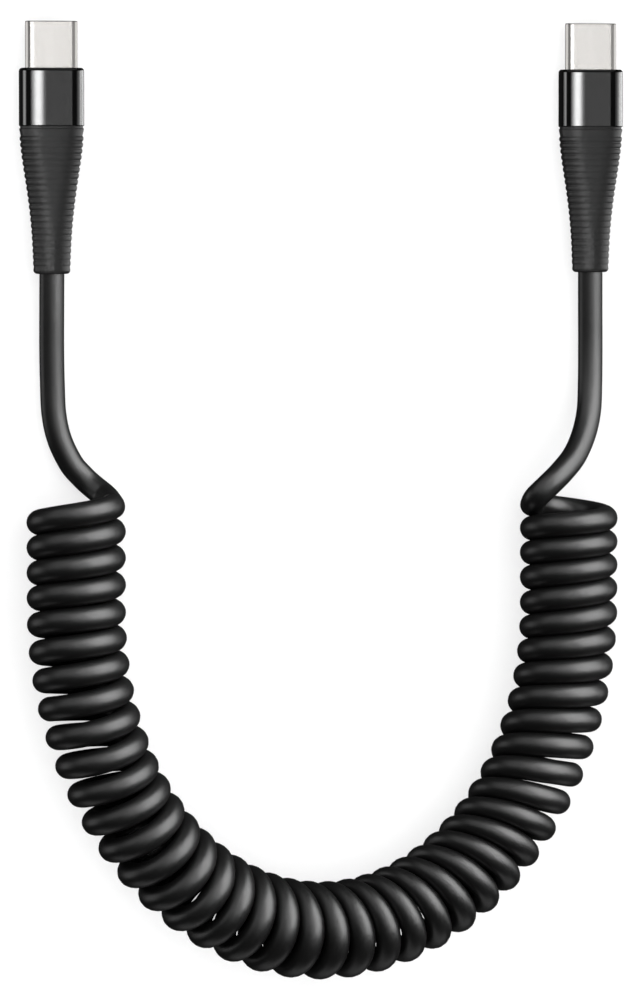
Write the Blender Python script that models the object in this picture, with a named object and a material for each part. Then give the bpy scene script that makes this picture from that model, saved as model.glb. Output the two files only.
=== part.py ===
"""Coiled USB-C cable lying flat on a level surface.

The curly cord lies in a U, and both plugs point the same way, along +Y. The left plug is at -X, the
right one at +X. The origin is the middle of the cable's outline, on the surface it lies on.
"""

import math

import bpy
from mathutils import Vector

MM = 0.001

# Whole cable
HALF_LENGTH = 75.3 * MM  # from the origin to the plugs' tips, and to the far side of the coil
PLUG_SPACING = 86.7 * MM  # between the two plugs' centre lines
SEAM = 0.3 * MM  # gap between two pieces that meet face to face
FIT = 0.1 * MM  # clearance around a small piece that is pressed into another

# Round cord and its curly stretch
CORD_DIAMETER = 3.9 * MM
COIL_DIAMETER = 15.5 * MM  # outside of the turns
COIL_SPAN = 79.1 * MM  # between the two legs' centre lines
COIL_MIDDLE = -0.85 * MM  # X midway between the two legs
BEND_DEPTH = 51.0 * MM  # from the end of the straight legs to the bottom of the bend
LEG_TOP = 0.3 * MM  # Y of the coil's two end faces
LEG_STEPS = 4
BEND_STEPS = 36
COIL_SIDES = 20
LEAD_SIDES = 12
LEAD_STEP = 2 * CORD_DIAMETER  # distance between two points of a lead

# Metal shell of a plug
SHELL_WIDTH = 8.25 * MM
SHELL_HEIGHT = 2.4 * MM
SHELL_WALL = 0.3 * MM
SHELL_SHOWN = 7.3 * MM  # length in front of the housing
SHELL_HELD = 3.0 * MM  # length inside the housing
SHELL_LIP = 0.12 * MM  # rounding of the mouth

# Insulator inside the shell, and its contacts
TONGUE_WIDTH = 6.9 * MM
TONGUE_SLOT = 0.8 * MM
TONGUE_SETBACK = 0.5 * MM  # from the shell's mouth
TONGUE_FLOOR = 1.6 * MM  # thickness behind the slot
CONTACT_COUNT = 12
CONTACT_PITCH = 0.5 * MM
CONTACT_WIDTH = 0.26 * MM
CONTACT_HEIGHT = 0.12 * MM
CONTACT_LENGTH = 4.4 * MM
CONTACT_BAR = 0.5 * MM  # strip that joins the contacts at their root

# Glossy housing
HOUSING_WIDTH = 9.9 * MM
HOUSING_HEIGHT = 6.0 * MM
HOUSING_LENGTH = 9.1 * MM
HOUSING_CORNER = 1.7 * MM
HOUSING_EDGE = 0.45 * MM  # rounding of the front and back edges

# Ribbed strain relief
BOOT_LENGTH = 22.7 * MM
BOOT_FRONT_WIDTH = 9.7 * MM
BOOT_FRONT_HEIGHT = 5.8 * MM
BOOT_END_WIDTH = 5.8 * MM
BOOT_END_HEIGHT = 5.0 * MM
BOOT_CORNER = 1.6 * MM
BOOT_WAIST = 0.48  # share of the length over which the boot narrows most
RIB_PITCH = 0.97 * MM
RIB_DEPTH = 0.2 * MM
BOOT_EDGE = 0.4 * MM

CORNER_STEPS = 4
BOOT_CORNER_STEPS = 3

PLUG_X = PLUG_SPACING / 2
PLUG_HEIGHT = HOUSING_HEIGHT / 2  # of the plug's centre line above the surface
SHELL_LENGTH = SHELL_SHOWN + SHELL_HELD
HOUSING_FRONT = -SHELL_SHOWN
HOUSING_BACK = HOUSING_FRONT - HOUSING_LENGTH
BOOT_FRONT = HOUSING_BACK - SEAM
BOOT_END = BOOT_FRONT - BOOT_LENGTH
CORD_RADIUS = CORD_DIAMETER / 2
COIL_RADIUS = COIL_DIAMETER / 2
LEG_X = COIL_SPAN / 2
BEND_BOTTOM = -HALF_LENGTH + COIL_RADIUS
BEND_TOP = BEND_BOTTOM + BEND_DEPTH
LEAD_TOP = HALF_LENGTH + BOOT_END - SEAM

# Where each lead goes after its boot, in mm: X measured outwards from the middle, Y, and height of
# the cord's centre. The left lead stays on the surface and passes under the first turn. The right
# one comes off the top of its first turn and comes down to its plug.
LEFT_LEAD = [
    (43.35, 30.0, 2.8),
    (43.3, 24.0, 2.4),
    (43.15, 18.5, 2.1),
    (42.9, 13.9, 2.0),
    (42.0, 9.9, 2.0),
    (40.2, 6.2, 2.0),
    (37.8, 3.5, 2.0),
]
RIGHT_LEAD = [
    (43.4, 30.0, 2.85),
    (43.45, 24.0, 2.75),
    (43.3, 18.2, 3.2),
    (42.8, 13.9, 4.4),
    (41.5, 10.3, 6.3),
    (39.4, 7.0, 8.6),
    (36.8, 4.5, 10.6),
    (34.5, 2.5, 11.4),
]


def clear_scene():
    for old in list(bpy.data.objects):
        bpy.data.objects.remove(old, do_unlink=True)


def make_material(name, color, roughness, metallic=0.0):
    material = bpy.data.materials.new(name)
    material.use_nodes = True
    shader = material.node_tree.nodes["Principled BSDF"]
    shader.inputs["Base Color"].default_value = (*color, 1.0)
    shader.inputs["Roughness"].default_value = roughness
    shader.inputs["Metallic"].default_value = metallic
    return material


def add_object(name, data, material, parent=None):
    data.materials.append(material)
    obj = bpy.data.objects.new(name, data)
    obj.parent = parent
    bpy.context.scene.collection.objects.link(obj)
    return obj


def rounded_section(width, height, corner, y, steps=CORNER_STEPS):
    """Points of a rounded rectangle in the plane at y, anticlockwise as seen from -Y."""
    corner = min(corner, width / 2, height / 2)
    points = []
    for quarter in range(4):
        side_x = 1 if quarter in (0, 3) else -1
        side_z = 1 if quarter in (0, 1) else -1
        centre_x = side_x * (width / 2 - corner)
        centre_z = side_z * (height / 2 - corner)
        for step in range(steps + 1):
            angle = math.radians(90) * (quarter + step / steps)
            x = centre_x + corner * math.cos(angle)
            z = centre_z + corner * math.sin(angle)
            points.append(Vector((x, y, z)))
    return points


def shrunk_section(width, height, corner, inset, y, steps=CORNER_STEPS):
    return rounded_section(
        width - 2 * inset, height - 2 * inset, max(corner - inset, FIT), y, steps
    )


def lofted_mesh(name, sections, closed_ring=False):
    """A closed mesh through sections that run towards -Y. A closed ring joins the last to the first."""
    count = len(sections[0])
    vertices = [point for section in sections for point in section]
    faces = []
    joins = len(sections) if closed_ring else len(sections) - 1
    for level in range(joins):
        here = level * count
        there = (level + 1) % len(sections) * count
        for i in range(count):
            j = (i + 1) % count
            faces.append((here + i, here + j, there + j, there + i))
    if not closed_ring:
        faces.append(tuple(reversed(range(count))))
        faces.append(tuple(range((len(sections) - 1) * count, len(vertices))))
    mesh = bpy.data.meshes.new(name)
    mesh.from_pydata(vertices, [], faces)
    mesh.validate()
    mesh.shade_smooth()
    mesh.set_sharp_from_angle(angle=math.radians(35))
    return mesh


def rounded_ends(width, height, corner, front, back, edge):
    """Sections of a block from front to back, with both end edges rounded."""
    arc = [math.radians(angle) for angle in (0, 30, 60, 90)]
    sections = []
    for angle in arc:
        inset = edge * (1 - math.sin(angle))
        y = front - edge * (1 - math.cos(angle))
        sections.append(shrunk_section(width, height, corner, inset, y))
    for angle in reversed(arc):
        inset = edge * (1 - math.sin(angle))
        y = back + edge * (1 - math.cos(angle))
        sections.append(shrunk_section(width, height, corner, inset, y))
    return sections


def make_shell(side, plug, material):
    round_end = SHELL_HEIGHT / 2
    inner_width = SHELL_WIDTH - 2 * SHELL_WALL
    inner_height = SHELL_HEIGHT - 2 * SHELL_WALL
    inner_end = inner_height / 2
    sections = [
        rounded_section(inner_width, inner_height, inner_end, -SHELL_LENGTH),
        rounded_section(inner_width, inner_height, inner_end, -SHELL_LIP),
        shrunk_section(SHELL_WIDTH, SHELL_HEIGHT, round_end, SHELL_WALL / 2, 0.0),
        rounded_section(SHELL_WIDTH, SHELL_HEIGHT, round_end, -SHELL_LIP),
        rounded_section(SHELL_WIDTH, SHELL_HEIGHT, round_end, -SHELL_LENGTH),
    ]
    mesh = lofted_mesh(side + "_shell", sections, closed_ring=True)
    return add_object(side + "_shell", mesh, material, plug)


def make_tongue_block(side, plug, material):
    """Insulator that fills the shell behind its mouth, with the slot that takes the port's tongue."""
    width = SHELL_WIDTH - 2 * SHELL_WALL - 2 * FIT
    height = SHELL_HEIGHT - 2 * SHELL_WALL - 2 * FIT
    front = -TONGUE_SETBACK
    back = -SHELL_LENGTH + FIT
    slot_floor = back + TONGUE_FLOOR
    slot_corner = TONGUE_SLOT / 4
    sections = [
        rounded_section(TONGUE_WIDTH, TONGUE_SLOT, slot_corner, slot_floor),
        rounded_section(TONGUE_WIDTH, TONGUE_SLOT, slot_corner, front),
        rounded_section(width, height, height / 2, front),
        rounded_section(width, height, height / 2, back),
    ]
    mesh = lofted_mesh(side + "_insulator", sections)
    return add_object(side + "_insulator", mesh, material, plug)


def make_contact_row(side, row, plug, material):
    """One row of contacts in the slot, fused to the strip at their root. row is 1 above, -1 below."""
    root = -SHELL_LENGTH + FIT + TONGUE_FLOOR + FIT
    strip = root + CONTACT_BAR
    tip = root + CONTACT_LENGTH
    first = -(CONTACT_COUNT - 1) / 2 * CONTACT_PITCH
    outline = []
    for i in range(CONTACT_COUNT):
        centre = first + i * CONTACT_PITCH
        left = centre - CONTACT_WIDTH / 2
        right = centre + CONTACT_WIDTH / 2
        outline += [(left, strip), (left, tip), (right, tip), (right, strip)]
    half = first - CONTACT_PITCH / 2
    outline += [(-half, strip), (-half, root), (half, root), (half, strip)]
    far = row * (TONGUE_SLOT / 2 - FIT / 2)
    near = far - row * CONTACT_HEIGHT
    top, bottom = max(far, near), min(far, near)
    count = len(outline)
    vertices = [(x, y, top) for x, y in outline] + [(x, y, bottom) for x, y in outline]
    faces = [tuple(reversed(range(count))), tuple(range(count, 2 * count))]
    for i in range(count):
        j = (i + 1) % count
        faces.append((i, j, count + j, count + i))
    name = side + ("_contacts_upper" if row > 0 else "_contacts_lower")
    mesh = bpy.data.meshes.new(name)
    mesh.from_pydata(vertices, [], faces)
    mesh.validate()
    return add_object(name, mesh, material, plug)


def make_housing(side, plug, material):
    """Glossy block with a blind pocket in its front face, which holds the shell."""
    pocket_width = SHELL_WIDTH + 2 * FIT
    pocket_height = SHELL_HEIGHT + 2 * FIT
    pocket_floor = HOUSING_FRONT - SHELL_HELD - FIT
    pocket_end = pocket_height / 2
    block = rounded_ends(
        HOUSING_WIDTH,
        HOUSING_HEIGHT,
        HOUSING_CORNER,
        HOUSING_FRONT,
        HOUSING_BACK,
        HOUSING_EDGE,
    )
    pocket = [
        rounded_section(pocket_width, pocket_height, pocket_end, pocket_floor),
        rounded_section(pocket_width, pocket_height, pocket_end, HOUSING_FRONT),
    ]
    mesh = lofted_mesh(side + "_housing", pocket + block)
    return add_object(side + "_housing", mesh, material, plug)


def boot_size(share):
    """Width and height of the boot at a share of its length, narrowing in a long hollow taper."""
    fall = math.exp(-((share / BOOT_WAIST) ** 1.6))
    end_fall = math.exp(-((1 / BOOT_WAIST) ** 1.6))
    blend = (fall - end_fall) / (1 - end_fall)
    width = BOOT_END_WIDTH + (BOOT_FRONT_WIDTH - BOOT_END_WIDTH) * blend
    height = BOOT_END_HEIGHT + (BOOT_FRONT_HEIGHT - BOOT_END_HEIGHT) * blend
    return width, height


def make_boot(side, plug, material):
    """Strain relief with a groove between each two ribs."""
    ribs = int((BOOT_LENGTH - 2 * BOOT_EDGE) / RIB_PITCH)
    first = BOOT_FRONT - (BOOT_LENGTH - ribs * RIB_PITCH) / 2
    stations = [(BOOT_FRONT, BOOT_EDGE / 2), (BOOT_FRONT - BOOT_EDGE / 2, 0.0)]
    for rib in range(ribs):
        groove = first - (rib + 0.5) * RIB_PITCH
        stations.append((groove + RIB_PITCH * 0.22, 0.0))
        stations.append((groove, RIB_DEPTH))
        stations.append((groove - RIB_PITCH * 0.22, 0.0))
    stations.append((BOOT_END + BOOT_EDGE / 2, 0.0))
    stations.append((BOOT_END, BOOT_EDGE / 2))
    sections = []
    for y, inset in stations:
        width, height = boot_size((BOOT_FRONT - y) / BOOT_LENGTH)
        sections.append(
            shrunk_section(width, height, BOOT_CORNER, inset, y, BOOT_CORNER_STEPS)
        )
    mesh = lofted_mesh(side + "_boot", sections)
    return add_object(side + "_boot", mesh, material, plug)


def make_plug(side, x, materials):
    """All the pieces of one plug, carried by an empty at the mouth of its shell."""
    plug = bpy.data.objects.new(side + "_plug", None)
    plug.empty_display_size = HOUSING_WIDTH
    plug.location = (x, HALF_LENGTH, PLUG_HEIGHT)
    bpy.context.scene.collection.objects.link(plug)
    make_shell(side, plug, materials["nickel"])
    make_tongue_block(side, plug, materials["insulator"])
    make_contact_row(side, 1, plug, materials["contact"])
    make_contact_row(side, -1, plug, materials["contact"])
    make_housing(side, plug, materials["housing"])
    make_boot(side, plug, materials["rubber"])


def curve_between(points, step):
    """Points about step apart on a smooth curve through the given ones."""
    ends = [2 * points[0] - points[1], *points, 2 * points[-1] - points[-2]]
    fine = []
    parts = 16
    for before, start, end, after in zip(ends, ends[1:], ends[2:], ends[3:]):
        for part in range(parts):
            t = part / parts
            fine.append(
                0.5
                * (
                    2 * start
                    + (end - before) * t
                    + (2 * before - 5 * start + 4 * end - after) * t**2
                    + (3 * start - before - 3 * end + after) * t**3
                )
            )
    fine.append(points[-1])
    lengths = [0.0]
    for here, there in zip(fine, fine[1:]):
        lengths.append(lengths[-1] + (there - here).length)
    count = max(2, round(lengths[-1] / step))
    chosen = []
    index = 0
    for i in range(count + 1):
        wanted = lengths[-1] * i / count
        while index < len(fine) - 2 and lengths[index + 1] < wanted:
            index += 1
        span = lengths[index + 1] - lengths[index]
        chosen.append(fine[index].lerp(fine[index + 1], (wanted - lengths[index]) / span))
    return chosen


def make_tube(name, points, radius, resolution, material):
    curve = bpy.data.curves.new(name, "CURVE")
    curve.dimensions = "3D"
    curve.bevel_depth = radius
    curve.bevel_resolution = resolution
    curve.use_fill_caps = True
    spline = curve.splines.new("POLY")
    spline.points.add(len(points) - 1)
    for target, point in zip(spline.points, points):
        target.co = (*point, 1.0)
    return add_object(name, curve, material)


def make_lead(name, side_sign, route, material):
    start = Vector((side_sign * PLUG_X, LEAD_TOP, PLUG_HEIGHT))
    route = [start] + [Vector((side_sign * x, y, z)) * MM for x, y, z in route]
    points = curve_between(route, LEAD_STEP)
    heading = (points[-1] - points[-2]).normalized()
    rim = CORD_RADIUS * math.sqrt(1 - heading.y**2)
    short = LEG_TOP + SEAM + rim - points[-1].y
    points[-1] += heading * (short / heading.y)
    return make_tube(name, points, CORD_RADIUS, LEAD_SIDES // 2 - 2, material)


def coil_axis():
    """The middle of the curly stretch: down the left leg, round half an ellipse, up the right leg."""
    points = []
    for step in range(LEG_STEPS):
        y = LEG_TOP + (BEND_TOP - LEG_TOP) * step / LEG_STEPS
        points.append(Vector((COIL_MIDDLE - LEG_X, y, COIL_RADIUS)))
    for step in range(BEND_STEPS + 1):
        angle = math.pi * step / BEND_STEPS
        x = COIL_MIDDLE - LEG_X * math.cos(angle)
        y = BEND_TOP - BEND_DEPTH * math.sin(angle)
        points.append(Vector((x, y, COIL_RADIUS)))
    for step in range(1, LEG_STEPS + 1):
        y = BEND_TOP + (LEG_TOP - BEND_TOP) * step / LEG_STEPS
        points.append(Vector((COIL_MIDDLE + LEG_X, y, COIL_RADIUS)))
    return points


def make_coil(material):
    """The curly stretch as one fat tube of the turns' outer diameter."""
    resolution = COIL_SIDES // 2 - 2
    return make_tube("coil", coil_axis(), COIL_RADIUS, resolution, material)


def main():
    clear_scene()
    materials = {
        "nickel": make_material("nickel", (0.72, 0.70, 0.68), 0.28, 1.0),
        "insulator": make_material("insulator", (0.02, 0.02, 0.02), 0.5),
        "contact": make_material("contact", (0.83, 0.62, 0.24), 0.25, 1.0),
        "housing": make_material("housing", (0.02, 0.02, 0.02), 0.08),
        "rubber": make_material("rubber", (0.03, 0.03, 0.03), 0.6),
        "cord": make_material("cord", (0.02, 0.02, 0.02), 0.42),
    }
    for side, sign in (("left", -1), ("right", 1)):
        make_plug(side, sign * PLUG_X, materials)
    make_lead("left_lead", -1, LEFT_LEAD, materials["cord"])
    make_lead("right_lead", 1, RIGHT_LEAD, materials["cord"])
    make_coil(materials["cord"])


main()
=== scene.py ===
"""Finish and fine shapes of the coiled USB-C cable, which lies flat with its plugs towards +Y."""

import math

import bpy
import numpy as np
from mathutils import Matrix, Vector


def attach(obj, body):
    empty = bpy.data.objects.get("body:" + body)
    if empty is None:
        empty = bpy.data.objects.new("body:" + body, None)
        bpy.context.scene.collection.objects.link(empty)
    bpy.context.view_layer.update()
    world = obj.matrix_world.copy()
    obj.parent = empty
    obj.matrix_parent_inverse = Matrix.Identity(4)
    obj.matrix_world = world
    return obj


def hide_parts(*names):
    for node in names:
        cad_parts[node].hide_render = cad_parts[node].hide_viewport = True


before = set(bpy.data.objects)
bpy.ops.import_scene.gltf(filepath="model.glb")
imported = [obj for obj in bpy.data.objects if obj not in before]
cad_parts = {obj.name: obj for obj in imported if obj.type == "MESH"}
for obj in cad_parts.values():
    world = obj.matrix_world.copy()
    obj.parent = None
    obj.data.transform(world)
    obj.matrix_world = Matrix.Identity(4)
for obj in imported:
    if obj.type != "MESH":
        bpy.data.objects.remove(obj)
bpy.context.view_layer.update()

MM = 0.001
FULL_TURN = 2 * math.pi

# Photograph's frame
IMAGE_HEIGHT = 992
PIXELS_PER_MM = 6.338

# Camera, in mm and degrees
AIM = Vector((-0.56, 0.73, 3.0))
CAMERA_DISTANCE = 1000.0
CAMERA_TO_LEFT = 12.0
CAMERA_TO_PLUGS = 3.0
SENSOR = 36.0
CAMERA_CLIP = (10.0, 20000.0)

# Whole cable, in mm, as in the model
HALF_LENGTH = 75.3
PLUG_X = 43.35
PLUG_HEIGHT = 3.0
SHELL_SHOWN = 7.3
HOUSING_LENGTH = 9.1
BOOT_LENGTH = 22.7
SEAM = 0.3
HOUSING_FRONT = HALF_LENGTH - SHELL_SHOWN
HOUSING_BACK = HOUSING_FRONT - HOUSING_LENGTH
BOOT_END = HOUSING_BACK - SEAM - BOOT_LENGTH

# Cord and its curly stretch, in mm, as in the model
CORD_DIAMETER = 3.9
CORD_RADIUS = CORD_DIAMETER / 2
COIL_DIAMETER = 15.5
COIL_RADIUS = COIL_DIAMETER / 2
COIL_SPAN = 79.1
COIL_MIDDLE = -0.85
BEND_DEPTH = 51.0
LEG_TOP = 0.3
LEG_X = COIL_SPAN / 2
BEND_TOP = -HALF_LENGTH + COIL_RADIUS + BEND_DEPTH

# Turns of the curly stretch. The lists give values at equal steps from its left end to its right.
TURNS = 42
FIRST_TURN = 0.6  # along the coil's middle line, from its left end
LAST_TURN = 1.1  # from its right end
TURN_PITCH = (3.9, 4.36, 3.9, 4.23, 3.63)  # mm
TURN_LEAN = (3.0, -11.2, -1.3, 10.2, -1.8)  # degrees, in plan
TURN_TIP = (-0.15, -0.15, 0.7, 2.1, 2.8, 2.25, 0.9, 0.15, 0.1)  # mm, of their tops to the right end
TURN_TIP_BELOW = (-0.15, -0.1, 0.35, 1.65, 2.75, 2.25, 1.4, 0.25, 0.0)  # of their undersides to the left
TURN_RADIUS = COIL_RADIUS - CORD_RADIUS
TURN_POINTS = 36
TURN_CUT = 2  # points at each end of the turns that give way to the leads
JOIN_POINTS = 3  # points of the turns that steer the end of a lead
CORD_INSERT = 3.0  # length of cord inside each boot

# Fineness of the cord's lines and mesh
LEG_POINTS = 200
BEND_POINTS = 1600
CURVE_STEPS = 40  # between two points of a lead
LEAD_STEP = 0.5  # mm
CORD_SIDES = 28
ALMOST_ONE = 1 - 1e-9

# X outwards from the middle, Y, and height of the cord's centre
LEFT_LEAD = [
    (43.35, 30.0, 2.8),
    (43.3, 24.0, 2.4),
    (43.15, 18.5, 2.1),
    (42.9, 13.9, 2.0),
    (42.0, 9.9, 2.0),
    (40.2, 6.2, 2.0),
    (38.5, 4.2, 2.1),
    (37.3, 3.0, 2.6),
    (36.2, 2.0, 3.6),
    (35.2, 1.0, 5.3),
]
RIGHT_LEAD = [
    (43.4, 30.0, 2.85),
    (43.45, 24.0, 2.75),
    (43.3, 18.2, 3.2),
    (42.8, 13.9, 4.4),
    (41.5, 10.3, 6.3),
    (39.4, 7.0, 8.6),
    (36.8, 4.5, 10.6),
    (34.5, 2.5, 11.4),
    (32.8, 0.6, 10.4),
]

# Metal shell of a plug, in mm
SHELL_WIDTH = 8.25
SHELL_HEIGHT = 2.4
SHELL_WALL = 0.3
SHELL_HELD = 3.0
SHELL_LIP = 0.14
SHELL_CROWN = 0.04

# Glossy housing, in mm
HOUSING_WIDTH = 9.9
HOUSING_HEIGHT = 6.0
HOUSING_CORNER = (3.9, 1.85)  # across and upright
HOUSING_FRONT_EDGE = 0.5
HOUSING_BACK_EDGE = 0.2
HOUSING_CROWN = 0.02
SHELL_FIT = 0.1
FLAT_START = 0.15  # behind an edge, so that only the edge shades round
LARGEST_CORNER = 0.49  # as a share of a section's width or height

# Ribbed strain relief, in mm
BOOT_FRONT_WIDTH = 9.95
BOOT_FRONT_HEIGHT = 5.8
BOOT_END_WIDTH = 5.7
BOOT_END_HEIGHT = 5.0
BOOT_CORNER = (3.0, 1.9)
BOOT_WAIST = 0.52  # share of its length by which most of the narrowing is done
BOOT_TAPER = 1.8  # power in the narrowing's curve
BOOT_CROWN = 0.25
BOOT_FRONT_EDGE = 0.15
BOOT_END_EDGE = 0.6
BOOT_COLLAR = 0.8  # smooth length in front of the first rib
RIB_PITCH = 0.97
RIB_DEPTH = 0.2  # on the sides, in front
RIB_FACE_DEPTH = 0.035  # on the flat faces
RIB_FADE = 0.55  # share of their depth that is gone by the end
GROOVE_SHARE = 0.2  # half width of a groove as a share of the pitch
BORE_FIT = 0.12

# Fineness of the plugs' mesh. A section has steps round each corner, and flat_steps along its
# flat stretches, across and then upright.
SHELL_FINENESS = {"steps": 16, "flat_steps": (16, 1)}
HOUSING_FINENESS = {"steps": 20, "flat_steps": (12, 2)}
BOOT_FINENESS = {"steps": 12, "flat_steps": (8, 2)}
LIP_STEPS = 8
EDGE_STEPS = 5
RIB_STEPS = 10
METAL_SHARP = 40  # degrees between faces, from which an edge shades as sharp
MOULDED_SHARP = 60

# Pieces inside the shell, and their slots
INNER_PIECES = {"insulator": "insulator", "contacts_upper": "contact", "contacts_lower": "contact"}

# Finishes by slot. Colours and roughness are pairs, patch and grain are sizes in mm, and bump is
# the grain's height in mm.
FINISHES = {
    "cord": {
        "name": "cord_jacket",
        "colors": ((0.001, 0.001, 0.001), (0.002, 0.002, 0.002)),
        "roughness": (0.36, 0.44),
        "patch": 5.0,
        "grain": 0.22,
        "bump": 0.006,
    },
    "boot": {
        "name": "boot_rubber",
        "colors": ((0.008, 0.008, 0.008), (0.011, 0.011, 0.011)),
        "roughness": (0.42, 0.5),
        "patch": 2.0,
        "grain": 0.12,
        "bump": 0.012,
    },
    "housing": {
        "name": "housing_gloss",
        "colors": ((0.0008, 0.0008, 0.0008), (0.0015, 0.0015, 0.0015)),
        "roughness": (0.07, 0.1),
        "patch": 3.0,
        "grain": 1.6,
        "bump": 0.001,
    },
    "shell": {
        "name": "shell_nickel",
        "colors": ((0.80, 0.775, 0.745), (0.85, 0.83, 0.80)),
        "roughness": (0.16, 0.2),
        "patch": 1.5,
        "grain": 0.25,
        "bump": 0.0001,
        "metallic": 1.0,
        "stretch": (1, 0.06, 1),
    },
    "insulator": {
        "name": "insulator_plastic",
        "colors": ((0.012, 0.012, 0.012), (0.018, 0.018, 0.018)),
        "roughness": (0.4, 0.5),
        "patch": 1.0,
        "grain": 0.1,
        "bump": 0.004,
    },
    "contact": {
        "name": "contact_gold",
        "colors": ((0.86, 0.62, 0.24), (0.92, 0.70, 0.30)),
        "roughness": (0.18, 0.26),
        "patch": 0.6,
        "grain": 0.08,
        "bump": 0.001,
        "metallic": 1.0,
    },
    "floor": {
        "name": "pale_floor",
        "colors": ((0.9, 0.9, 0.9), (0.92, 0.92, 0.92)),
        "roughness": (0.6, 0.7),
        "patch": 60.0,
        "grain": 1.0,
        "bump": 0.01,
    },
}
PATCH_DETAIL = 3.0
GRAIN_DETAIL = 4.0
GRAIN_RANGE = (0.3, 0.7)  # of the grain's noise, over which the roughness runs

# Floor and lamps, in mm. A lamp has its place, its width and length, and its radiance.
FLOOR = 4000.0
FLOOR_GAP = 0.05
WORLD_LIGHT = 0.02
WASH = ((0, 0, 2500), (6000, 6000))
FLOOR_WASH = 0.13
EVEN_FLOOR_WASH = 1.77  # without shadows
SOFT_CABLE_WASH = 1.0  # without reflections
CORD_LAMPS = {
    "key": ((1050, 690, 790), (1900, 2100), 5.9),
    "key_glow": ((500, 600, 1250), (2400, 2200), 2.1),
    "outer_glow": ((0, -1450, -390), (2400, 800), 0.6),
    "upper_glow": ((-800, 850, 800), (2200, 1800), 1.1),
}
PLUG_LAMPS = {
    "near_card": ((0, -1500, 500), (2400, 900), 0.8),
    "far_card": ((0, 1500, 500), (2400, 900), 0.8),
}

# Cards round the cord and the plugs: from and to, in degrees from straight up towards +X, and
# radiance. Those past a right angle stand for the light that a white floor sends back.
CARD_DISTANCE = 1500.0
CARD_LENGTH = 800.0
CORD_CARDS = [(-128, -96, 1.2), (88, 108, 1.6)]
METAL_CARDS = [
    (-150, -88, 0.75),
    (-88, -50, 0.18),
    (-46, 3, 1.5),
    (3, 24, 0.93),
    (24, 75, 0.28),
    (75, 150, 0.8),
]
GLOSS_CARDS = [
    (-105, -66, 3.0),
    (-92, -72, 2.5),
    (-38, 4, 2.0),
    (-34, 1, 3.0),
    (-30, -1, 4.0),
    (-26, -3, 4.5),
    (-23, -5, 4.5),
    (-20, -8, 5.0),
    (2, 37, 1.3),
    (55, 140, 1.0),
    (63, 130, 1.8),
    (70, 120, 3.0),
    (76, 108, 3.5),
]
RUBBER_CARDS = [
    (-132, -40, 1.15),
    (-36, -2, 4.8),
    (-2, 34, 0.4),
    (62, 130, 3.0),
]


def make_camera():
    """Camera above the cable, a little to the left and towards the plugs."""
    lean_left = -math.tan(math.radians(CAMERA_TO_LEFT))
    lean_up = math.tan(math.radians(CAMERA_TO_PLUGS))
    away = Vector((lean_left, lean_up, 1.0)).normalized()
    right = (-away).cross(Vector((0, 1, 0))).normalized()
    up = right.cross(-away)
    data = bpy.data.cameras.new("camera")
    data.sensor_width = SENSOR
    data.lens = PIXELS_PER_MM * CAMERA_DISTANCE * SENSOR / IMAGE_HEIGHT
    data.clip_start = CAMERA_CLIP[0] * MM
    data.clip_end = CAMERA_CLIP[1] * MM
    camera = bpy.data.objects.new("camera", data)
    turn = Matrix((right, up, away)).transposed().to_4x4()
    camera.matrix_world = Matrix.Translation((AIM + away * CAMERA_DISTANCE) * MM) @ turn
    bpy.context.scene.collection.objects.link(camera)
    bpy.context.scene.camera = camera


def unit(vectors):
    """The vectors at length 1."""
    return vectors / np.linalg.norm(vectors, axis=-1, keepdims=True)


def along_coil(values, share):
    """Smooth course through values at equal steps of the coil's length."""
    place = np.clip(share, 0, ALMOST_ONE) * (len(values) - 1)
    before = place.astype(int)
    part = place - before
    part = part * part * (3 - 2 * part)
    values = np.array(values)
    return values[before] * (1 - part) + values[before + 1] * part


def coil_axis():
    """Middle line of the coil as arrays: distance along it, X, Y, and heading from 0 to pi."""
    leg = np.linspace(LEG_TOP, BEND_TOP, LEG_POINTS)[:-1]
    angle = np.linspace(0, math.pi, BEND_POINTS)
    left_x = np.full(len(leg), COIL_MIDDLE - LEG_X)
    right_x = np.full(len(leg), COIL_MIDDLE + LEG_X)
    x = np.concatenate([left_x, COIL_MIDDLE - LEG_X * np.cos(angle), right_x])
    y = np.concatenate([leg, BEND_TOP - BEND_DEPTH * np.sin(angle), leg[::-1]])
    distance = np.concatenate([[0], np.cumsum(np.hypot(np.diff(x), np.diff(y)))])
    heading = np.arctan2(np.gradient(x, distance), -np.gradient(y, distance))
    return distance, x, y, heading


def turn_centres():
    """Centre line of the cord round all the turns, at equal steps of the turning angle."""
    distance, x, y, heading = coil_axis()
    pitch = along_coil(TURN_PITCH, distance / distance[-1])
    steps = np.diff(distance) * 2 / (pitch[1:] + pitch[:-1])
    count = np.concatenate([[0], np.cumsum(steps)])
    first = np.interp(FIRST_TURN, distance, count)
    last = np.interp(distance[-1] - LAST_TURN, distance, count)
    turn = np.linspace(0, TURNS, TURNS * TURN_POINTS + 1)
    along = np.interp(first + turn * (last - first) / TURNS, count, distance)
    middle_x = np.interp(along, distance, x)
    middle_y = np.interp(along, distance, y)
    facing = np.interp(along, distance, heading)
    lean = np.radians(along_coil(TURN_LEAN, along / distance[-1]))
    angle = math.pi - FULL_TURN * turn
    tip = along_coil(TURN_TIP, along / distance[-1])
    tip_below = along_coil(TURN_TIP_BELOW, along / distance[-1])
    tip = tip_below + (tip - tip_below) * (1 + np.sin(angle)) / 2
    out = TURN_RADIUS * np.cos(angle)
    shift = tip * np.sin(angle)
    points_x = middle_x - out * np.cos(facing + lean) + shift * np.sin(facing)
    points_y = middle_y - out * np.sin(facing + lean) - shift * np.cos(facing)
    points_z = COIL_RADIUS + TURN_RADIUS * np.sin(angle)
    return np.stack([points_x, points_y, points_z], axis=1)


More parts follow.
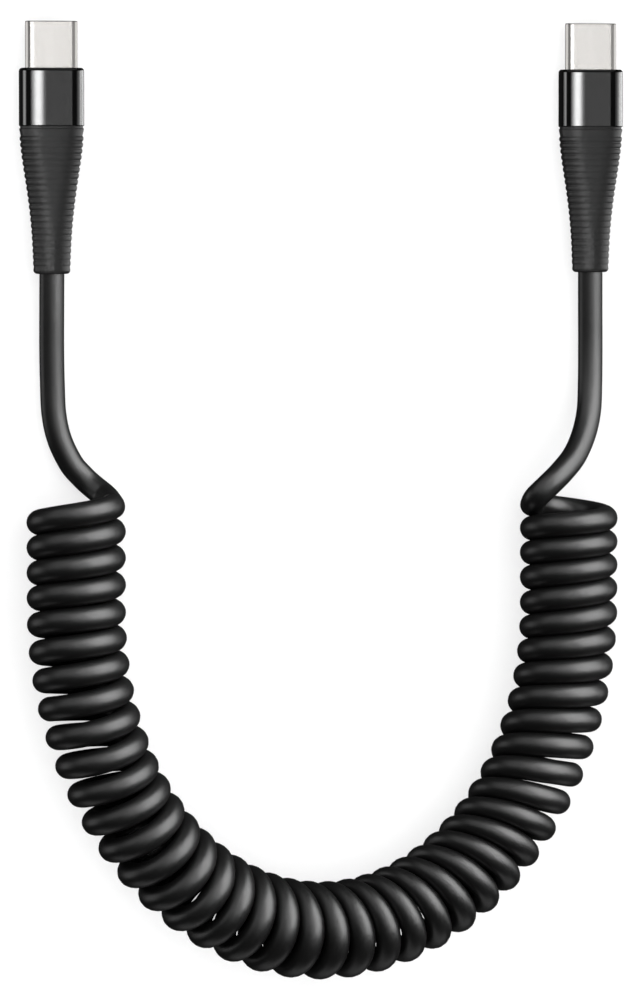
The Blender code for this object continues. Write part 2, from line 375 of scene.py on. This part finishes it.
def smooth_line(points, step):
    """Points about step apart on a smooth curve through the given ones."""
    points = np.array(points, float)
    ends = np.vstack([2 * points[0] - points[1], points, 2 * points[-1] - points[-2]])
    fine = []
    for i in range(len(points) - 1):
        before, start, end, after = ends[i : i + 4]
        for t in np.linspace(0, 1, CURVE_STEPS, endpoint=False):
            linear = (end - before) * t
            square = (2 * before - 5 * start + 4 * end - after) * t**2
            cube = (3 * start - before - 3 * end + after) * t**3
            fine.append(start + 0.5 * (linear + square + cube))
    fine = np.array(fine + [points[-1]])
    length = np.concatenate([[0], np.cumsum(np.linalg.norm(np.diff(fine, axis=0), axis=1))])
    wanted = np.linspace(0, length[-1], max(2, round(length[-1] / step)) + 1)
    return np.stack([np.interp(wanted, length, fine[:, k]) for k in range(3)], axis=1)


def lead_line(side, route, joins):
    """The straight lead from inside its boot to the first points of the turns."""
    inside = (side * PLUG_X, BOOT_END + CORD_INSERT, PLUG_HEIGHT)
    mouth = (side * PLUG_X, BOOT_END, PLUG_HEIGHT)
    points = [inside, mouth] + [(side * x, y, z) for x, y, z in route]
    line = smooth_line(points + [tuple(p) for p in joins], LEAD_STEP)
    tail = np.linalg.norm(line - joins[0], axis=1).argmin()
    return line[:tail]


def cord_path():
    """The whole centre line, and where in it the turns begin and how many points they have."""
    turns = turn_centres()[TURN_CUT:-TURN_CUT]
    left = lead_line(-1, LEFT_LEAD, turns[:JOIN_POINTS])
    right = lead_line(1, RIGHT_LEAD, turns[::-1][:JOIN_POINTS])[::-1]
    return np.vstack([left, turns, right]), len(left), len(turns)


def tube_mesh(name, path, first, count):
    """The cord's jacket. Where two turns are closer than its diameter they press each other flat."""
    total = len(path)
    tangent = unit(np.gradient(path, axis=0))
    gap_after = np.full(total, np.inf)
    gap_before = np.full(total, np.inf)
    across = np.zeros((total, 3))
    for i in range(first, first + count):
        for other, gap in ((i + TURN_POINTS, gap_after), (i - TURN_POINTS, gap_before)):
            if first <= other < first + count:
                apart = path[other] - path[i]
                apart = apart - tangent[i] * (apart @ tangent[i])
                gap[i] = np.linalg.norm(apart)
                across[i] += apart if other > i else -apart
    for i in range(first - 1, -1, -1):
        across[i] = across[i + 1] - tangent[i] * (across[i + 1] @ tangent[i])
    for i in range(first + count, total):
        across[i] = across[i - 1] - tangent[i] * (across[i - 1] @ tangent[i])
    across = unit(across - tangent * np.sum(across * tangent, axis=1, keepdims=True))
    upright = np.cross(tangent, across)
    angle = np.arange(CORD_SIDES) * FULL_TURN / CORD_SIDES
    wide = CORD_RADIUS * np.cos(angle)[None, :]
    tall = CORD_RADIUS * np.sin(angle)[None, :]
    press_after = np.minimum(1, gap_after / CORD_DIAMETER)[:, None]
    press_before = np.minimum(1, gap_before / CORD_DIAMETER)[:, None]
    wide = np.where(wide > 0, wide * press_after, wide * press_before)
    ring = path[:, None, :] + wide[:, :, None] * across[:, None, :]
    ring = ring + tall[:, :, None] * upright[:, None, :]
    faces = ring_faces(total, CORD_SIDES)
    faces.append(tuple(reversed(range(CORD_SIDES))))
    faces.append(tuple(range((total - 1) * CORD_SIDES, total * CORD_SIDES)))
    return smooth_mesh(name, ring.reshape(-1, 3), faces)


def ring_faces(rings, sides):
    """Four-sided faces between neighbouring rings of points."""
    faces = []
    for i in range(rings - 1):
        for j in range(sides):
            k = (j + 1) % sides
            here = i * sides
            there = here + sides
            faces.append((here + j, here + k, there + k, there + j))
    return faces


def smooth_mesh(name, vertices, faces, sharp=None):
    """Smoothly shaded mesh from vertices in mm, with edges sharp from an angle in degrees."""
    mesh = bpy.data.meshes.new(name)
    mesh.from_pydata((np.array(vertices) * MM).tolist(), [], faces)
    mesh.validate()
    mesh.shade_smooth()
    if sharp is not None:
        mesh.set_sharp_from_angle(angle=math.radians(sharp))
    return mesh


def section(width, height, corner, crown, steps, flat_steps):
    """Points (x, z) round a rectangle with oval corners whose top and bottom bulge by crown.

    Each corner has steps pieces and each flat stretch flat_steps. The corner's size and flat_steps
    are given across and then upright. A round side keeps a very short flat stretch, so that no two
    points coincide.
    """
    height = height - 2 * crown
    corner = np.minimum(corner, (LARGEST_CORNER * width, LARGEST_CORNER * height))
    points = []
    for quarter in range(4):
        side_x = 1 if quarter in (0, 3) else -1
        side_z = 1 if quarter in (0, 1) else -1
        centre = np.array([side_x * (width / 2 - corner[0]), side_z * (height / 2 - corner[1])])
        for angle in np.linspace(quarter, quarter + 1, steps + 1) * math.pi / 2:
            points.append(centre + corner * np.array([math.cos(angle), math.sin(angle)]))
        flat = (width, height)[quarter % 2] / 2 - corner[quarter % 2]
        turned = (quarter + 1) * math.pi / 2
        ahead = np.array([math.cos(turned + math.pi / 2), math.sin(turned + math.pi / 2)])
        pieces = flat_steps[quarter % 2]
        flat_start = points[-1]
        for i in range(1, pieces):
            points.append(flat_start + ahead * 2 * flat * i / pieces)
    points = np.array(points)
    bulge = crown * (1 - (2 * points[:, 0] / width) ** 2)
    points[:, 1] += bulge * points[:, 1] / (height / 2)
    return points


def normals(outline):
    """Outward directions at the outline's points."""
    ahead = unit(np.roll(outline, -1, axis=0) - np.roll(outline, 1, axis=0))
    return np.stack([ahead[:, 1], -ahead[:, 0]], axis=1)


def inset(outline, depth):
    """The outline moved inwards by depth along its normals."""
    return outline - depth * normals(outline)


def loft(name, x, rings, sharp, closed=False):
    """Closed mesh through (y, outline) rings that run towards -Y, round the plug's centre line at x."""
    sides = len(rings[0][1])
    vertices = []
    for y, outline in rings:
        for across, up in outline:
            vertices.append((x + across, y, PLUG_HEIGHT + up))
    faces = ring_faces(len(rings), sides)
    last = (len(rings) - 1) * sides
    if closed:
        for j in range(sides):
            k = (j + 1) % sides
            faces.append((last + j, last + k, k, j))
    else:
        faces.append(tuple(reversed(range(sides))))
        faces.append(tuple(range(last, last + sides)))
    return smooth_mesh(name, vertices, faces, sharp)


def edge_rings(outline, y, radius, towards):
    """Rings that round an end's edge, from the end face outwards, with the body on side towards."""
    rings = []
    for angle in np.linspace(0, math.pi / 2, EDGE_STEPS + 1):
        depth = radius * (1 - math.sin(angle))
        rings.append((y + towards * radius * (1 - math.cos(angle)), inset(outline, depth)))
    return rings


def make_shell(side, x, material):
    """Drawn metal shell, with a rounded mouth and its true wall."""
    round_side = (SHELL_HEIGHT / 2, SHELL_HEIGHT / 2)
    outer = section(SHELL_WIDTH, SHELL_HEIGHT, round_side, SHELL_CROWN, **SHELL_FINENESS)
    inner = inset(outer, SHELL_WALL)
    back = HOUSING_FRONT - SHELL_HELD
    rings = [(back, inner)]
    for angle in np.linspace(0, math.pi, LIP_STEPS + 1):
        depth = SHELL_WALL / 2 * (1 + math.cos(angle))
        rings.append((HALF_LENGTH - SHELL_LIP * (1 - math.sin(angle)), inset(outer, depth)))
    rings.append((HALF_LENGTH - SHELL_LIP - FLAT_START, outer))
    rings.append((back, outer))
    mesh = loft(side + "_plug_shell", x, rings, METAL_SHARP, closed=True)
    return finish_piece(mesh, material, side + "_shell")


def make_housing(side, x, material):
    """Glossy block with oval shoulders and the pocket that holds the shell."""
    outline = section(
        HOUSING_WIDTH, HOUSING_HEIGHT, HOUSING_CORNER, HOUSING_CROWN, **HOUSING_FINENESS
    )
    pocket_width = SHELL_WIDTH + 2 * SHELL_FIT
    pocket_height = SHELL_HEIGHT + 2 * SHELL_FIT
    pocket_corner = (pocket_height / 2, pocket_height / 2)
    pocket = section(pocket_width, pocket_height, pocket_corner, 0, **HOUSING_FINENESS)
    floor = HOUSING_FRONT - SHELL_HELD - SHELL_FIT
    rings = [(floor, pocket), (HOUSING_FRONT - SHELL_FIT, pocket)]
    rings.append((HOUSING_FRONT, inset(pocket, -SHELL_FIT)))
    rings += edge_rings(outline, HOUSING_FRONT, HOUSING_FRONT_EDGE, -1)
    rings.append((HOUSING_FRONT - HOUSING_FRONT_EDGE - FLAT_START, outline))
    rings.append((HOUSING_BACK + HOUSING_BACK_EDGE + FLAT_START, outline))
    rings += edge_rings(outline, HOUSING_BACK, HOUSING_BACK_EDGE, 1)[::-1]
    mesh = loft(side + "_gloss_housing", x, rings, MOULDED_SHARP)
    return finish_piece(mesh, material, side + "_housing")


def boot_outline(share):
    """Section of the strain relief at a share of its length, narrowing in a long hollow taper."""
    fall = math.exp(-((share / BOOT_WAIST) ** BOOT_TAPER))
    end_fall = math.exp(-((1 / BOOT_WAIST) ** BOOT_TAPER))
    blend = (fall - end_fall) / (1 - end_fall)
    width = BOOT_END_WIDTH + (BOOT_FRONT_WIDTH - BOOT_END_WIDTH) * blend
    height = BOOT_END_HEIGHT + (BOOT_FRONT_HEIGHT - BOOT_END_HEIGHT) * blend
    return section(width, height, BOOT_CORNER, BOOT_CROWN, **BOOT_FINENESS)


def make_boot(side, x, material):
    """Ribbed strain relief, with the bore that the cord comes out of."""
    front = HOUSING_BACK - SEAM
    ribs = int((BOOT_LENGTH - 2 * BOOT_COLLAR) / RIB_PITCH)
    margin = (BOOT_LENGTH - ribs * RIB_PITCH) / 2
    rings = [(HOUSING_BACK, inset(boot_outline(0), BOOT_FRONT_EDGE))]
    rings += edge_rings(boot_outline(0), front, BOOT_FRONT_EDGE, -1)
    for step in range(ribs * RIB_STEPS + 1):
        along = margin + step * RIB_PITCH / RIB_STEPS
        off_groove = (step / RIB_STEPS + 0.5) % 1 - 0.5
        outline = boot_outline(along / BOOT_LENGTH)
        sideways = np.abs(normals(outline)[:, :1])
        depth = RIB_FACE_DEPTH + (RIB_DEPTH - RIB_FACE_DEPTH) * sideways
        fade = 1 - RIB_FADE * along / BOOT_LENGTH
        groove = depth * fade * math.exp(-((off_groove / GROOVE_SHARE) ** 2))
        rings.append((front - along, inset(outline, groove)))
    end = boot_outline(1)
    rings += edge_rings(end, BOOT_END, BOOT_END_EDGE, 1)[::-1]
    turned = np.arctan2(end[:, 1], end[:, 0])
    ring = np.stack([np.cos(turned), np.sin(turned)], axis=1)
    bore = CORD_RADIUS + BORE_FIT
    rings.append((BOOT_END, ring * (bore + BORE_FIT)))
    rings.append((BOOT_END + BORE_FIT, ring * bore))
    rings.append((BOOT_END + CORD_INSERT + BORE_FIT, ring * bore))
    mesh = loft(side + "_ribbed_boot", x, rings, MOULDED_SHARP)
    return finish_piece(mesh, material, side + "_boot")


def add_piece(name, mesh, material):
    """Object of one mesh and material, in the scene."""
    mesh.materials.append(material)
    piece = bpy.data.objects.new(name, mesh)
    bpy.context.scene.collection.objects.link(piece)
    return piece


def finish_piece(mesh, material, node):
    """Adds a piece that rides on the cable and stands for one solid of the model."""
    piece = add_piece(mesh.name, mesh, material)
    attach(piece, "root")
    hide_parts(node)
    return piece


def textured(name, colors, roughness, patch, grain, bump, metallic=0.0, stretch=(1, 1, 1)):
    """Material whose colour drifts over patches, with a fine grain in its roughness and relief."""
    material = bpy.data.materials.new(name)
    material.use_nodes = True
    nodes = material.node_tree.nodes
    links = material.node_tree.links
    shader = nodes["Principled BSDF"]
    shader.inputs["Metallic"].default_value = metallic
    place = nodes.new("ShaderNodeTexCoord")
    mapping = nodes.new("ShaderNodeMapping")
    mapping.inputs["Scale"].default_value = stretch
    links.new(place.outputs["Object"], mapping.inputs["Vector"])
    drift = nodes.new("ShaderNodeTexNoise")
    drift.inputs["Scale"].default_value = 1 / (patch * MM)
    drift.inputs["Detail"].default_value = PATCH_DETAIL
    links.new(mapping.outputs["Vector"], drift.inputs["Vector"])
    color = nodes.new("ShaderNodeMix")
    color.data_type = "RGBA"
    color.inputs["A"].default_value = (*colors[0], 1)
    color.inputs["B"].default_value = (*colors[1], 1)
    links.new(drift.outputs["Fac"], color.inputs["Factor"])
    links.new(color.outputs["Result"], shader.inputs["Base Color"])
    fine = nodes.new("ShaderNodeTexNoise")
    fine.inputs["Scale"].default_value = 1 / (grain * MM)
    fine.inputs["Detail"].default_value = GRAIN_DETAIL
    links.new(mapping.outputs["Vector"], fine.inputs["Vector"])
    rough = nodes.new("ShaderNodeMapRange")
    rough.inputs["From Min"].default_value = GRAIN_RANGE[0]
    rough.inputs["From Max"].default_value = GRAIN_RANGE[1]
    rough.inputs["To Min"].default_value = roughness[0]
    rough.inputs["To Max"].default_value = roughness[1]
    links.new(fine.outputs["Fac"], rough.inputs["Value"])
    links.new(rough.outputs["Result"], shader.inputs["Roughness"])
    relief = nodes.new("ShaderNodeBump")
    relief.inputs["Strength"].default_value = 1.0
    relief.inputs["Distance"].default_value = bump * MM
    links.new(fine.outputs["Fac"], relief.inputs["Height"])
    links.new(relief.outputs["Normal"], shader.inputs["Normal"])
    return material


def make_materials():
    """One material for each finish."""
    return {slot: textured(**finish) for slot, finish in FINISHES.items()}


def make_cable(material):
    """The cord from boot to boot, with its centre line in mm and its length in metres."""
    path, first, count = cord_path()
    mesh = tube_mesh("cable", path, first, count)
    cable = add_piece("cable", mesh, material)
    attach(cable, "root")
    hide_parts("left_lead", "coil", "right_lead")
    length = float(np.linalg.norm(np.diff(path, axis=0), axis=1).sum()) * MM
    return cable, path, length


def make_plug(side, x, materials):
    """The pieces of one plug. The small ones inside the shell stay as modelled."""
    pieces = [
        make_shell(side, x, materials["shell"]),
        make_housing(side, x, materials["housing"]),
        make_boot(side, x, materials["boot"]),
    ]
    for node, slot in INNER_PIECES.items():
        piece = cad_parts[side + "_" + node]
        piece.data.materials.clear()
        piece.data.materials.append(materials[slot])
        pieces.append(piece)
    return pieces


def light_group(name, pieces):
    """Collection of the only pieces that a lamp lights, or of those that cast its shadows."""
    group = bpy.data.collections.new(name)
    for piece in pieces:
        group.objects.link(piece)
    return group


def light_card(name, place, size, radiance, onto, blockers, aim=(0, 0, 0), glossy=True):
    """Area light given by how bright it looks. Place, size and aim are in mm."""
    width, length = (value * MM for value in size)
    data = bpy.data.lights.new(name, "AREA")
    data.shape = "RECTANGLE"
    data.size = width
    data.size_y = length
    data.energy = radiance * math.pi * width * length
    lamp = bpy.data.objects.new(name, data)
    away = (Vector(place) - Vector(aim)).normalized()
    across = Vector((0, 1, 0)).cross(away).normalized()
    turn = Matrix((across, away.cross(across), away)).transposed().to_4x4()
    lamp.matrix_world = Matrix.Translation(Vector(place) * MM) @ turn
    lamp.visible_camera = False
    lamp.visible_glossy = glossy
    lamp.light_linking.receiver_collection = onto
    lamp.light_linking.blocker_collection = blockers
    bpy.context.scene.collection.objects.link(lamp)
    return lamp


def fan(name, cards, x, y, onto, blockers):
    """Cards round a place on the cable. They run along Y and face it."""
    for number, (start, end, radiance) in enumerate(cards):
        centre = math.radians(start + end) / 2
        width = 2 * CARD_DISTANCE * math.tan(math.radians(end - start) / 2)
        place = (x + CARD_DISTANCE * math.sin(centre), y, CARD_DISTANCE * math.cos(centre))
        size = (width, CARD_LENGTH)
        light_card(f"{name}_{number}", place, size, radiance, onto, blockers, aim=(x, y, 0))


def make_floor(material):
    """Pale floor that neither darkens nor brightens the black cable above it."""
    corners = [(-FLOOR, -FLOOR, 0), (FLOOR, -FLOOR, 0), (FLOOR, FLOOR, 0), (-FLOOR, FLOOR, 0)]
    floor = add_piece("floor", smooth_mesh("floor", corners, [(0, 1, 2, 3)]), material)
    floor.location.z = -FLOOR_GAP * MM
    floor.visible_glossy = False
    floor.visible_diffuse = False
    return floor


def make_lights(floor, cable, left_plug, right_plug):
    """Studio light. Cord, metal, plastic and rubber have cards of their own, as in a photo
    joined from several exposures.
    """
    world = bpy.data.worlds.new("studio")
    world.use_nodes = True
    background = world.node_tree.nodes["Background"]
    background.inputs["Color"].default_value = (1, 1, 1, 1)
    background.inputs["Strength"].default_value = WORLD_LIGHT
    bpy.context.scene.world = world
    bpy.context.scene.view_settings.view_transform = "Standard"
    pieces = light_group("pieces", [cable, *left_plug, *right_plug])
    on_floor = light_group("lit_floor", [floor])
    on_cord = light_group("lit_cord", [cable])
    light_card("wash", *WASH, FLOOR_WASH, on_floor, pieces)
    even = light_card("even_wash", *WASH, EVEN_FLOOR_WASH, on_floor, pieces)
    even.data.use_shadow = False
    light_card("soft_wash", *WASH, SOFT_CABLE_WASH, pieces, pieces, glossy=False)
    for name, lamp in CORD_LAMPS.items():
        light_card(name, *lamp, on_cord, pieces)
    fan("cord_card", CORD_CARDS, 0, 0, on_cord, pieces)
    on_plugs = light_group("lit_plugs", [*left_plug, *right_plug])
    for name, lamp in PLUG_LAMPS.items():
        light_card(name, *lamp, on_plugs, pieces)
    for side, x, plug in (("left", -PLUG_X, left_plug), ("right", PLUG_X, right_plug)):
        shell, housing, boot, *inner = plug
        for name, cards, lit in (
            ("metal", METAL_CARDS, [shell, *inner]),
            ("gloss", GLOSS_CARDS, [housing]),
            ("rubber", RUBBER_CARDS, [boot]),
        ):
            name = f"{side}_{name}"
            fan(name + "_card", cards, x, HOUSING_BACK, light_group("lit_" + name, lit), pieces)


make_camera()
materials = make_materials()
cable, path, cord_length = make_cable(materials["cord"])
left_pieces = make_plug("left", -PLUG_X, materials)
right_pieces = make_plug("right", PLUG_X, materials)
make_lights(make_floor(materials["floor"]), cable, left_pieces, right_pieces)
